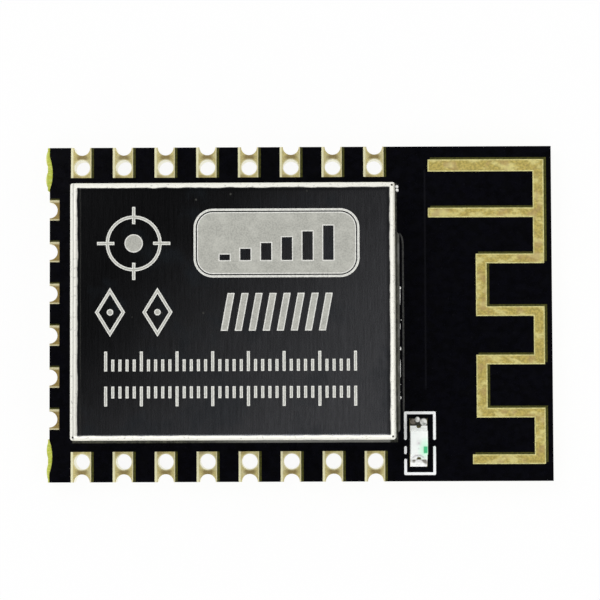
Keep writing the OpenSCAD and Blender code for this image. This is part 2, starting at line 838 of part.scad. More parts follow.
module radio_terminals() {
    color("silver") {
        at_radio_pins() translate([0, -radio_pin_l / 2, board_t])
            block([radio_pin_w, radio_pin_l, lead_t]);
        translate([radio_x, radio_y, board_t]) block([radio_pad_l, radio_pad_l, lead_t]);
    }
}

module radio_chip() {
    color("dimgray") difference() {
        translate([radio_x, radio_y, board_t]) block([radio_l, radio_l, radio_t]);
        radio_terminals();
        pin_dimple(radio_x - radio_l / 2, radio_y + radio_l / 2, board_t + radio_t);
    }
}

// Shallow round mark near the corner of the first terminal
module pin_dimple(x, y, z) {
    translate([x + dimple_inset, y - dimple_inset, z - dimple_depth])
        cylinder(r = dimple_r, h = dimple_depth + EPS);
}

module memory_chip() {
    color("dimgray") difference() {
        translate([memory_x, 0, board_t + lead_t / 2]) block([memory_l, memory_w, memory_t]);
        pin_dimple(memory_x - memory_l / 2, memory_w / 2, board_t + lead_t / 2 + memory_t);
    }
}

// Gull-wing leads: foot on the board, slope, and a short level end at the body
module memory_leads() {
    reach = (memory_span - memory_w) / 2;
    shoulder_z = memory_t / 2;
    color("silver") at_memory_leads() translate([0, 0, board_t]) rotate([90, 0, 90])
        linear_extrude(lead_w, center = true) polygon([
            [0, shoulder_z], [lead_rise_l / 2, shoulder_z], [lead_rise_l, 0], [reach, 0],
            [reach, lead_t], [lead_rise_l + lead_t / 2, lead_t],
            [(lead_rise_l + lead_t) / 2, shoulder_z + lead_t], [0, shoulder_z + lead_t]
        ]);
}

module crystal_base() {
    color("beige") translate([radio_x, crystal_y, board_t])
        block([crystal_l, crystal_w, crystal_base_t]);
}

module crystal_lid() {
    color("silver") translate([radio_x, crystal_y, board_t + crystal_base_t])
        block([crystal_l - 2 * lid_inset, crystal_w - 2 * lid_inset, crystal_lid_t]);
}

// The body of a chip part, between its two end caps
module chip_body(part, t) {
    at_chip(part) translate([0, 0, board_t + cap_step])
        block([chip_l - 2 * chip_cap, chip_w - 2 * cap_step, t - 2 * cap_step]);
}

module chip_end_caps(parts, t) {
    for (part = parts) at_chip(part) for (x = [-1, 1])
        translate([x * (chip_l - chip_cap) / 2, 0, board_t]) block([chip_cap, chip_w, t]);
}

module chip_caps() {
    color("silver") {
        chip_end_caps(concat(capacitors, coils), chip_w);
        chip_end_caps(resistors, resistor_t);
    }
}

module capacitor(i) {
    color("tan") chip_body(capacitors[i], chip_w);
}

module resistor(i) {
    color("black") chip_body(resistors[i], resistor_t);
}

module coil(i) {
    color("darkslateblue") chip_body(coils[i], chip_w);
}

// ---------- assembly ----------

laminate();
top_varnish();
bottom_varnish();
antenna_trace();
ground_land();
legend_print();
for (i = [0:2 * side_pads - 1])
    holed_pad(i);
for (i = [0:end_pads - 1])
    end_pad(i);
shield_can();
can_solder();
can_marking();
lamp_lands();
lamp_base();
lamp_terminals();
lamp_die();
lamp_mark();
lamp_lens();
lamp_solder();
circuit_lands();
radio_chip();
radio_terminals();
memory_chip();
memory_leads();
crystal_base();
crystal_lid();
chip_caps();
for (i = [0:len(capacitors) - 1])
    capacitor(i);
for (i = [0:len(resistors) - 1])
    resistor(i);
for (i = [0:len(coils) - 1])
    coil(i);
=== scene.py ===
"""Finishes and small details for a surface-mount radio module, and a plain studio to show it in.

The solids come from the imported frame. This add-on gives each of them its finish, outlines the
print and the antenna, adds the covered copper and the solder drops, and sets the studio.
"""

import math
import random

import bmesh
import bpy
from bpy.props import FloatProperty, FloatVectorProperty, IntProperty
from mathutils import Matrix, Vector


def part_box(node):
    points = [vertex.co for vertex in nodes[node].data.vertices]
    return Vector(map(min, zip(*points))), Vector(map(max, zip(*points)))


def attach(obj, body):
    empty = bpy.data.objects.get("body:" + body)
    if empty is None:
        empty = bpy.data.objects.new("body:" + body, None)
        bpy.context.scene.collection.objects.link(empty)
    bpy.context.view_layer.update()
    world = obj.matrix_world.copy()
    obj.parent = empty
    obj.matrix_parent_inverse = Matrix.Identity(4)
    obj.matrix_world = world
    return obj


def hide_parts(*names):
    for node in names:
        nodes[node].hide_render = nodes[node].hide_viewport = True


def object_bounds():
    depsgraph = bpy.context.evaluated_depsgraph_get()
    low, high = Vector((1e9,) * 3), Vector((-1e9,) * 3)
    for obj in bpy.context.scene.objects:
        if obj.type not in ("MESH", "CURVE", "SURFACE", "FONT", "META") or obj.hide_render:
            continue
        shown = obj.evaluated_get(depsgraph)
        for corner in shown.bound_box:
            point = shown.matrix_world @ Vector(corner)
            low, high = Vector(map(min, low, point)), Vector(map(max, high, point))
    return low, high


bl_info = {
    "name": "Radio Module Finishes",
    "version": (1, 0, 0),
    "blender": (4, 5, 0),
    "location": "3D Viewport > Sidebar > Radio Module",
    "description": "Finishes, covered copper, solder drops and a studio for a castellated radio module",
    "category": "Object",
}

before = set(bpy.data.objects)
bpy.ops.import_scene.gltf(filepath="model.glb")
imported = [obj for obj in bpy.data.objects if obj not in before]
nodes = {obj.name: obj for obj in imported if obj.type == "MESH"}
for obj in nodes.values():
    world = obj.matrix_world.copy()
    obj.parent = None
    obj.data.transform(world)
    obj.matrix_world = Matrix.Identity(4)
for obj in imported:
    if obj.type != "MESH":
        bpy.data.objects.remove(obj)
cad_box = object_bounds()

MM = 0.001
SKIN = 0.002 * MM      # how far a thin added layer stands above what carries it

board_low, board_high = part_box("laminate")
can_low, can_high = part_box("shield_can")
lamp_low, lamp_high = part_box("lamp_base")
side_pad_low, side_pad_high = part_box("holed_pad_01")
end_pad_low, end_pad_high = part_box("end_pad_01")
varnish_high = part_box("top_varnish")[1]
antenna_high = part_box("antenna_trace")[1]
strip_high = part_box("ground_land")[1]
legend_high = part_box("legend_print")[1]
lamp_middle = (lamp_low + lamp_high) / 2


# ---------- shader sums ----------

class Socket:
    """An output socket that can be added, multiplied and compared like a number."""

    def __init__(self, tree, out):
        self.tree = tree
        self.out = out

    def math(self, operation, *others):
        node = self.tree.nodes.new("ShaderNodeMath")
        node.operation = operation
        for slot, value in zip(node.inputs, others):
            if isinstance(value, Socket):
                self.tree.links.new(value.out, slot)
            else:
                slot.default_value = value
        return Socket(self.tree, node.outputs[0])

    def __add__(self, other):
        return self.math("ADD", self, other)

    def __radd__(self, other):
        return self.math("ADD", other, self)

    def __sub__(self, other):
        return self.math("SUBTRACT", self, other)

    def __rsub__(self, other):
        return self.math("SUBTRACT", other, self)

    def __mul__(self, other):
        return self.math("MULTIPLY", self, other)

    def __rmul__(self, other):
        return self.math("MULTIPLY", other, self)

    def __pow__(self, other):
        return self.math("POWER", self, other)

    def __abs__(self):
        return self.math("ABSOLUTE", self)

    def larger(self, other):
        return self.math("MAXIMUM", self, other)

    def smaller(self, other):
        return self.math("MINIMUM", self, other)

    def repeated(self, step):
        """Distance from the nearest whole multiple of step, with its sign."""
        return self.math("WRAP", self, step / 2, -step / 2)


class Nodes:
    """Adds nodes to the empty node tree of a material or a world."""

    def __init__(self, holder):
        holder.use_nodes = True
        self.tree = holder.node_tree
        self.tree.nodes.clear()

    def node(self, kind, settings=None, values=None, out=0):
        """Adds a node: its settings first, then the values or links of its sockets."""
        node = self.tree.nodes.new(kind)
        for key, value in (settings or {}).items():
            setattr(node, key, value)
        for key, value in (values or {}).items():
            if isinstance(value, Socket):
                self.tree.links.new(value.out, node.inputs[key])
            else:
                node.inputs[key].default_value = value
        return Socket(self.tree, node.outputs[out])

    def rise(self, value, low, high):
        """0 at low, 1 at high, and a smooth step between; low may be the larger one."""
        return self.node("ShaderNodeMapRange", {"interpolation_type": "SMOOTHSTEP"}, {
            "Value": value, "From Min": low, "From Max": high})

    def seen(self, *kinds):
        """1 for these kinds of ray, 0 for the others."""
        total = self.node("ShaderNodeLightPath", {}, {}, out=kinds[0])
        for kind in kinds[1:]:
            total = total.larger(self.node("ShaderNodeLightPath", {}, {}, out=kind))
        return total


class Finish(Nodes):
    """A material built from sums on the object's own coordinates, in millimetres."""

    def __init__(self, name):
        self.material = bpy.data.materials.new(name)
        super().__init__(self.material)
        place = self.node("ShaderNodeTexCoord", out="Object")
        self.place = self.node("ShaderNodeVectorMath", {"operation": "SCALE"}, {0: place, "Scale": 1 / MM})
        self.x, self.y, self.z = [
            self.node("ShaderNodeSeparateXYZ", {}, {0: self.place}, out=axis) for axis in "XYZ"]

    def stretched(self, x=1.0, y=1.0, z=1.0):
        """The coordinates, scaled along each axis."""
        return self.node("ShaderNodeMapping", {}, {"Vector": self.place, "Scale": (x, y, z)})

    def noise(self, scale, detail=3.0, roughness=0.55, where=None):
        """Noise around 0.5, with scale in features a millimetre."""
        return self.node("ShaderNodeTexNoise", {}, {
            "Vector": where or self.place, "Scale": scale, "Detail": detail, "Roughness": roughness})

    def cells(self, scale, where=None):
        """Distance from the nearest of many scattered points."""
        return self.node(
            "ShaderNodeTexVoronoi", {}, {"Vector": where or self.place, "Scale": scale}, out="Distance")

    def band(self, value, low, high, soft=0.015):
        """1 from low to high, with soft ends."""
        return self.rise(value, low - soft, low + soft) * self.rise(value, high + soft, high - soft)

    def away(self, across, along):
        """Length of a step across and along."""
        return (across * across + along * along) ** 0.5

    def spot(self, across, along, radius, soft=0.02):
        """1 within a radius of where across and along are both 0, with a soft edge."""
        return self.rise(self.away(across, along), radius + soft, radius - soft)

    def mix(self, factor, first, second):
        """A colour between two colours."""
        first = first if isinstance(first, Socket) else opaque(first)
        second = second if isinstance(second, Socket) else opaque(second)
        return self.node("ShaderNodeMix", {"data_type": "RGBA"}, {
            "Factor": factor, 6: first, 7: second}, out=2)

    def bump(self, height, depth, strength=1.0):
        """A normal from a height of 0 to 1 that stands for depth millimetres."""
        return self.node("ShaderNodeBump", {}, {
            "Height": height, "Distance": depth * MM, "Strength": strength})

    def shaded(self, **sockets):
        """Ends the material in one principled shader."""
        shader = self.tree.nodes.new("ShaderNodeBsdfPrincipled")
        for name, value in sockets.items():
            key = name.replace("_", " ").title().replace("Ior", "IOR")
            if isinstance(value, Socket):
                self.tree.links.new(value.out, shader.inputs[key])
            else:
                shader.inputs[key].default_value = value
        end = self.tree.nodes.new("ShaderNodeOutputMaterial")
        self.tree.links.new(shader.outputs[0], end.inputs[0])
        return self.material


def opaque(colour):
    return (*colour[:3], 1.0)


def shade(colour, share):
    """A colour made lighter or darker, and never past white."""
    return tuple(min(1.0, part * share) for part in colour)


# ---------- pieces ----------

def dress(material, *names):
    """Gives a material to every solid whose name starts with one of these."""
    found = [solid for name, solid in nodes.items() if name.startswith(names)]
    if not found:
        raise RuntimeError(f"no solid is named {names}")
    for solid in found:
        if not solid.material_slots:
            solid.data.materials.append(material)
        for slot in solid.material_slots:
            slot.material = material


def added_piece(name, shape, materials):
    """Turns a finished bmesh into a piece of the object."""
    bmesh.ops.recalc_face_normals(shape, faces=shape.faces)
    mesh = bpy.data.meshes.new(name)
    shape.to_mesh(mesh)
    shape.free()
    piece = bpy.data.objects.new(name, mesh)
    bpy.context.scene.collection.objects.link(piece)
    for material in materials:
        mesh.materials.append(material)
    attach(piece, "root")
    return piece


def slab(shape, low, high):
    """Adds a block between two corners to a bmesh."""
    low = Vector(low)
    high = Vector(high)
    place = Matrix.Translation((low + high) / 2) @ Matrix.Diagonal((*(high - low), 1))
    return bmesh.ops.create_cube(shape, size=1.0, matrix=place)["verts"]


def upper_side(node):
    """The upper faces of a flat solid, as a merged bmesh."""
    shape = bmesh.new()
    shape.from_mesh(nodes[node].data)
    bmesh.ops.remove_doubles(shape, verts=shape.verts, dist=0.0001 * MM)
    others = [face for face in shape.faces if face.normal.z < 0.9]
    bmesh.ops.delete(shape, geom=others, context="FACES")
    return shape


def thicken(shape, depth):
    """Gives an open sheet its thickness, downwards."""
    done = bmesh.ops.extrude_face_region(shape, geom=shape.faces[:])
    lower = [part for part in done["geom"] if isinstance(part, bmesh.types.BMVert)]
    bmesh.ops.translate(shape, verts=lower, vec=(0, 0, -depth))


def outlined(name, node, line, materials):
    """Replaces a flat solid by one whose outline has the second of two materials."""
    low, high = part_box(node)
    shape = upper_side(node)
    rim = bmesh.ops.inset_region(
        shape, faces=shape.faces[:], thickness=line, depth=0.0, use_boundary=True, use_even_offset=True)
    for face in rim["faces"]:
        face.material_index = 1
    thicken(shape, high.z - low.z)
    piece = added_piece(name, shape, materials)
    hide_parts(node)


# ---------- sizes and colours a user would change ----------

def colour_property(name, description, default):
    return FloatVectorProperty(name=name, description=description, default=default, subtype="COLOR",
                               size=3, min=0.0, max=1.0)


def share_property(name, description, default):
    return FloatProperty(name=name, description=description, default=default, min=0.0, max=1.0,
                         subtype="FACTOR")


def length_property(name, description, default):
    return FloatProperty(name=name, description=description, default=default, min=0.0, precision=5,
                         subtype="DISTANCE", unit="LENGTH")


class BoardLook(bpy.types.PropertyGroup):
    varnish: colour_property("Varnish", "Colour of the black varnish", (0.0006, 0.0006, 0.0014))
    varnish_gloss: share_property("Varnish roughness", "How dull the varnish is", 0.20)
    covered_copper: colour_property("Covered copper", "Varnish over the copper's edge", (0.070, 0.070, 0.012))
    covered_width: length_property("Covered width", "Width of copper that shows through varnish", 0.12 * MM)
    ridge: colour_property("Ridge", "Varnish over the step of the ground copper", (0.068, 0.068, 0.066))
    ridge_width: length_property("Ridge width", "Width of that step", 0.085 * MM)
    ridge_gap: length_property("Ridge gap", "From the bare ground copper to that step", 0.13 * MM)
    epoxy: colour_property("Epoxy", "Raw edge of the board", (0.53, 0.60, 0.055))
    fibre: colour_property("Fibre", "Torn glass fibre on the raw edge", (0.76, 0.80, 0.21))
    legend: colour_property("Legend", "White legend print", (0.96, 0.97, 0.98))


class PadLook(bpy.types.PropertyGroup):
    gold: colour_property("Gold", "Plated pads", (0.74, 0.64, 0.27))
    # painted shade: the pads of the left side are the same gold plate, painted darker
    amber: colour_property("Amber", "Pads of the left side", (0.42, 0.30, 0.09))
    # painted highlight: the colour painted on the bright edges of the pads
    rim: colour_property("Rim", "Bright edges of a pad", (0.99, 0.95, 0.62))
    # the browner, darker gold towards the neck and the inner ends of the pads
    darkening: colour_property("Darkening", "Brown trace of flux between hole and notch", (0.25, 0.175, 0.06))
    # painted light: the plating in holes and notches is painted paler than on the faces
    wall: colour_property("Wall", "Plating inside holes and notches", (0.95, 0.93, 0.74))
    hole: length_property("Hole", "Diameter of the hole in a pad", 0.75 * MM)
    notch: length_property("Notch", "Diameter of the notch in a pad", 0.76 * MM)
    shift: length_property("Pad shift", "How far a pad sits left of its hole", 0.045 * MM)
    pitch: length_property("Pitch", "Distance between neighbouring pads", 2.0 * MM)
    antenna: colour_property("Antenna", "Plated antenna", (0.63, 0.51, 0.135))
    # painted highlight: the colour painted along the antenna's edge
    antenna_rim: colour_property("Antenna edge", "Bright edge of the antenna", (0.90, 0.83, 0.35))
    antenna_line: length_property("Antenna edge width", "Width of that bright edge", 0.055 * MM)


class CanLook(bpy.types.PropertyGroup):
    # painted reflection: the upper face is painted dark and the folds and walls bright, for the dark ceiling
    # the face mirrors and the bright sides the folds mirror
    panel: colour_property("Panel", "Brushed upper face of the can", (0.110, 0.111, 0.119))
    rim: colour_property("Rim", "Folded edges and walls of the can", (0.87, 0.86, 0.785))
    # widths of the painted highlight on each fold
    left_rim: length_property("Left rim", "Bright width of the left fold", 0.375 * MM)
    right_rim: length_property("Right rim", "Bright width of the right fold", 0.27 * MM)
    upper_rim: length_property("Upper rim", "Bright width of the upper fold", 0.255 * MM)
    lower_rim: length_property("Lower rim", "Bright width of the lower fold", 0.215 * MM)
    marking: colour_property("Marking", "Pale marking on the can", (0.47, 0.47, 0.425))
    marking_line: colour_property("Marking outline", "Brighter outline of the marking", (0.82, 0.82, 0.77))
    marking_width: length_property("Marking outline width", "Width of that outline", 0.045 * MM)
    # painted highlight: the grey along the solder's outer edge
    solder: colour_property("Solder", "Solder along the can", (0.13, 0.13, 0.12))
    bright_solder: colour_property("Bright solder", "Fresh solder at the lamp and drops", (0.88, 0.88, 0.86))
    crumbs: IntProperty(name="Crumbs", description="Tiny drops of solder beside the can", default=3, min=0)


class LampLook(bpy.types.PropertyGroup):
    body: colour_property("Body", "White base of the lamp", (0.96, 0.98, 0.96))
    lens: colour_property("Lens", "Clear cover of the lamp", (0.96, 0.985, 0.97))
    haze: share_property("Haze", "How much the clear cover hides", 0.70)
    # painted glow: emission that makes the resin, lens and terminals render whiter
    light: share_property("Light", "How much light the white resin spreads", 0.13)
    green: colour_property("Green", "Green mark under the lens", (0.02, 0.56, 0.22))
    glow: share_property("Glow", "How far the green tints the lamp around it", 0.6)


class StageLook(bpy.types.PropertyGroup):
    camera_height: length_property("Camera height", "From the underside to the camera", 75.532 * MM)
    key: FloatProperty(name="Key light", description="Radiance of the large light", default=1.8, min=0.0)
    fill: FloatProperty(name="Fill light", description="Radiance of the smaller lights", default=1.1, min=0.0)
    sides: FloatProperty(name="Sides", description="Radiance of the studio's walls", default=1.0, min=0.0)
    ceiling: FloatProperty(name="Ceiling", description="Radiance of the dark ceiling", default=0.05, min=0.0)
    floor_glow: share_property("Floor glow", "How much of the floor's white hides its shading", 0.92)


LOOKS = {
    "module_board": BoardLook,
    "module_pads": PadLook,
    "module_can": CanLook,
    "module_lamp": LampLook,
    "module_stage": StageLook,
}


# ---------- board ----------

class FinishBoard(bpy.types.Operator):
    """Finish the laminate, the black varnish and the legend print"""
    bl_idname = "module.finish_board"
    bl_label = "Board"

    def execute(self, context):
        look = context.scene.module_board
        self.varnish(look)
        self.epoxy(look)
        self.legend(look)
        return {"FINISHED"}

    def varnish(self, look):
        f = Finish("Black varnish")
        weave = f.noise(3.0, detail=2.0, where=f.stretched(1.0, 1.3, 0.2))
        dust = f.rise(f.noise(9.0, detail=2.0), 0.66, 0.80)
        tone = f.mix(f.rise(weave, 0.35, 0.65), look.varnish, shade(look.varnish, 2.2))
        tone = f.mix(dust * 0.6, tone, (0.010, 0.010, 0.014))
        # a covered track runs along the middle of the antenna's clear field
        track_x = (varnish_high.x + can_high.x) / 2 / MM - 2.26
        track = f.band(f.x, track_x - 0.04, track_x + 0.04, 0.02) * f.band(f.y, -3.6, 6.9, 0.1)
        track = track * f.rise(f.z, board_low.z / MM, board_high.z / MM)
        tone = f.mix(track * 0.7, tone, (0.0075, 0.0075, 0.010))
        dress(f.shaded(
            base_color=tone,
            roughness=look.varnish_gloss + 0.16 * f.noise(2.2, detail=4.0),
            specular_ior_level=0.15,
            normal=f.bump(weave + 0.3 * f.noise(24.0), 0.003)), "top_varnish", "bottom_varnish")

    def epoxy(self, look):
        f = Finish("Glass epoxy")
        strands = f.noise(9.0, detail=4.0, where=f.stretched(0.5, 2.2, 4.0))
        layers = f.rise(abs(f.z.repeated(0.14)), 0.02, 0.06)
        tone = f.mix(f.rise(strands, 0.42, 0.68), look.epoxy, look.fibre)
        tone = f.mix(layers * 0.3, tone, shade(look.epoxy, 0.6))
        torn = f.rise(f.x + 0.05 * strands, board_low.x / MM + 0.11, board_low.x / MM + 0.04)
        tone = f.mix(torn * 0.7, tone, (0.93, 0.95, 0.52))
        dress(f.shaded(
            base_color=tone,
            roughness=0.55 + 0.25 * strands,
            subsurface_weight=0.08,
            subsurface_scale=0.0004,
            normal=f.bump(strands, 0.02)), "laminate")

    def legend(self, look):
        f = Finish("White legend")
        grain = f.noise(22.0, detail=3.0)
        dress(f.shaded(
            base_color=f.mix(f.rise(grain, 0.28, 0.42), shade(look.legend, 0.88), look.legend),
            roughness=0.55 + 0.2 * grain,
            specular_ior_level=0.3,
            normal=f.bump(grain, 0.004)), "legend_print")


class AddCoveredCopper(bpy.types.Operator):
    """Add the copper that shows through the varnish beside the pads, the antenna and the can"""
    bl_idname = "module.add_covered_copper"
    bl_label = "Covered copper"

    def execute(self, context):
        look = context.scene.module_board
        olive = self.material("Covered copper", look.covered_copper)
        self.bands(look, olive)
        self.antenna_band(look, olive)
        self.ridge(look, self.material("Covered step", look.ridge))
        return {"FINISHED"}

    def material(self, name, colour):
        f = Finish(name)
        grain = f.noise(9.0, detail=3.0)
        return f.shaded(
            base_color=f.mix(f.rise(grain, 0.38, 0.66), colour, shade(colour, 0.55)),
            roughness=0.3 + 0.2 * grain,
            specular_ior_level=0.2,
            normal=f.bump(grain, 0.003))

    def bands(self, look, material):
        """A thin band on the right of each holed pad and above each pad on the left side."""
        width = look.covered_width
        top = varnish_high.z + SKIN
        shape = bmesh.new()
        for name in nodes:
            if name.startswith("holed_pad"):
                low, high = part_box(name)
                slab(shape, (high.x, low.y, top - SKIN), (high.x + width, high.y, top))
            elif name.startswith("end_pad"):
                low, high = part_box(name)
                slab(shape, (low.x, high.y, top - SKIN), (high.x, high.y + 0.6 * width, top))
        added_piece("covered_copper_pads", shape, [material])

    def antenna_band(self, look, material):
        """The antenna's own outline, moved up and to the right, shows beyond it as a band."""
        shape = upper_side("antenna_trace")
        shift = Vector((look.covered_width, 0.8 * look.covered_width, varnish_high.z + SKIN - antenna_high.z))
        bmesh.ops.translate(shape, verts=shape.verts, vec=shift)
        thicken(shape, SKIN)
        added_piece("covered_copper_antenna", shape, [material])

    def ridge(self, look, material):
        """A step in the varnish along the can's right wall, which bends to the wall at its upper end."""
        inner = look.ridge_gap
        outer = inner + look.ridge_width
        bend = 3.0 * outer
        upper = can_high.y - 2.2 * MM
        turns = [math.radians(90 * step / 12) for step in range(13)]
        shape = bmesh.new()
        sides = [[(strip_high.x + reach, legend_high.y)] + [
            (strip_high.x + reach * math.cos(turn), upper - bend + (bend - outer + reach) * math.sin(turn))
            for turn in turns] for reach in (inner, outer)]
        rows = [[shape.verts.new((x, y, varnish_high.z + 4 * SKIN)) for x, y in side] for side in sides]
        for near, far, far_next, near_next in zip(rows[0], rows[1], rows[1][1:], rows[0][1:]):
            shape.faces.new((near, far, far_next, near_next))
        thicken(shape, 4 * SKIN)
        added_piece("covered_copper_step", shape, [material])


# ---------- pads and antenna ----------

class FinishPads(bpy.types.Operator):
    """Finish the plated pads, the antenna and the bare copper"""
    bl_idname = "module.finish_pads"
    bl_label = "Pads and antenna"

    def execute(self, context):
        look = context.scene.module_pads
        self.side_pads(look)
        self.end_pads(look)
        self.bare_copper(look)
        self.antenna(look)
        return {"FINISHED"}

    def plate(self, f, look, tone, grain, *names):
        """Walls of holes and notches are painted brighter than the faces, a painted light on the same
        plating; the faces keep a fine grain.
        """
        upper = f.rise(f.z, board_high.z / MM + 0.005, board_high.z / MM + 0.03)
        lower = f.rise(f.z, board_low.z / MM - 0.005, board_low.z / MM - 0.03)
        face = upper.larger(lower)
        dress(f.shaded(
            base_color=f.mix(face, look.wall, tone),
            metallic=0.85 - 0.45 * face,
            roughness=0.24 + 0.16 * face + 0.16 * grain,
            normal=f.bump(grain, 0.006)), *names)

    def side_pads(self, look):
        f = Finish("Gold plate, long sides")
        grain = f.noise(16.0, detail=4.0)
        cloud = f.noise(1.7, detail=3.0)
        half = (side_pad_high.x - side_pad_low.x) / 2 / MM
        shift = look.shift / MM
        across = (f.x - (side_pad_high.x + side_pad_low.x) / 2 / MM - shift).repeated(look.pitch / MM)
        left = half + shift
        right = half - shift
        ring = half - look.hole / 2 / MM
        hole_y = side_pad_low.y / MM + ring + look.hole / 2 / MM
        notch_y = side_pad_high.y / MM - look.notch / 2 / MM
        out = abs(f.y)
        from_hole = f.away(across, out - hole_y)
        neck_y = (hole_y + look.hole / 2 / MM + notch_y) / 2
        tone = f.mix(f.rise(grain, 0.36, 0.66), look.gold, shade(look.gold, 0.74))
        tone = f.mix(f.rise(cloud, 0.48, 0.68) * 0.5, tone, shade(look.rim, 0.8))
        # darker and browner towards the neck between hole and notch
        neck = f.spot(across, (out - neck_y) * 1.6, 0.26, 0.12)
        tone = f.mix(neck * (0.55 + 0.5 * grain), tone, look.darkening)
        inner = side_pad_low.y / MM
        # darker and browner at the left of the pad's inner end
        shoulder = f.band(out, inner - 0.1, inner + 0.12, 0.05) * f.rise(across, 0.1, -0.3)
        tone = f.mix(shoulder * 0.5, tone, look.darkening)
        # painted highlight: bright lines along each pad's left and right edges and a bright lip round its
        # hole
        lip = f.rise(from_hole, look.hole / 2 / MM + 0.07, look.hole / 2 / MM + 0.02)
        bright = f.rise(across, 0.14 - left, 0.07 - left) + 0.6 * f.rise(across, right - 0.07, right - 0.02)
        bright = (bright + 0.5 * lip).smaller(1.0) * (0.8 + 0.4 * grain)
        self.plate(f, look, f.mix(bright, tone, look.rim), grain, "holed_pad")

    def end_pads(self, look):
        f = Finish("Gold plate, left side")
        grain = f.noise(16.0, detail=4.0)
        half = (end_pad_high.y - end_pad_low.y) / 2 / MM
        along = (f.y - (end_pad_high.y + end_pad_low.y) / 2 / MM).repeated(look.pitch / MM)
        inner = end_pad_high.x / MM
        # painted shade: these pads are painted a darker amber gold than the long sides
        tone = f.mix(f.rise(grain, 0.36, 0.66), look.amber, shade(look.amber, 0.62))
        # painted highlight along the upper and lower edges of each pad
        edge = f.rise(along, half - 0.16, half - 0.05) + f.rise(along, 0.10 - half, 0.02 - half)
        tone = f.mix(edge.smaller(1.0) * (0.5 + 0.4 * grain), tone, look.rim)
        # darker and browner towards the pad's inner end
        tone = f.mix(f.rise(f.x, inner - 0.06, inner - 0.01) * 0.5, tone, look.darkening)
        self.plate(f, look, tone, grain, "end_pad")

    def bare_copper(self, look):
        f = Finish("Gold plate, lands")
        grain = f.noise(16.0, detail=4.0)
        tone = f.mix(f.rise(grain, 0.36, 0.66), shade(look.gold, 0.5), shade(look.gold, 0.3))
        self.plate(f, look, tone, grain, "lamp_lands", "circuit_lands")

        # painted reflection: the tinned ground copper is painted dark, as it reflects the dark ceiling
        f = Finish("Tinned ground copper")
        grain = f.noise(9.0, detail=4.0)
        tone = f.mix(f.rise(grain, 0.40, 0.66), (0.020, 0.020, 0.014), (0.075, 0.075, 0.060))
        dress(f.shaded(
            base_color=tone,
            metallic=0.4,
            roughness=0.4 + 0.2 * grain,
            normal=f.bump(grain, 0.006)), "ground_land")

    def antenna(self, look):
        f = Finish("Antenna plate")
        grain = f.noise(9.0, detail=5.0, roughness=0.6)
        cloud = f.noise(2.2, detail=3.0, where=f.stretched(0.7, 1.2, 1.0))
        tone = f.mix(f.rise(grain, 0.38, 0.62), look.antenna, shade(look.antenna, 0.66))
        tone = f.mix(f.rise(cloud, 0.46, 0.64) * 0.6, tone, look.antenna_rim)
        tone = f.mix(f.rise(f.noise(1.3, detail=2.0), 0.52, 0.66) * 0.45, tone, (0.47, 0.31, 0.15))
        plate = f.shaded(
            base_color=tone,
            metallic=0.35,
            roughness=0.38 + 0.2 * grain,
            normal=f.bump(grain, 0.007))

        # painted highlight: the antenna's outline gets this brighter plate
        f = Finish("Antenna edge")
        grain = f.noise(7.0, detail=3.0)
        edge = f.shaded(
            base_color=f.mix(f.rise(grain, 0.38, 0.6), look.antenna_rim, shade(look.antenna_rim, 0.72)),
            metallic=0.35,
            roughness=0.32 + 0.2 * grain,
            normal=f.bump(grain, 0.005))
        outlined("antenna_plate", "antenna_trace", look.antenna_line, [plate, edge])


# ---------- shield can ----------

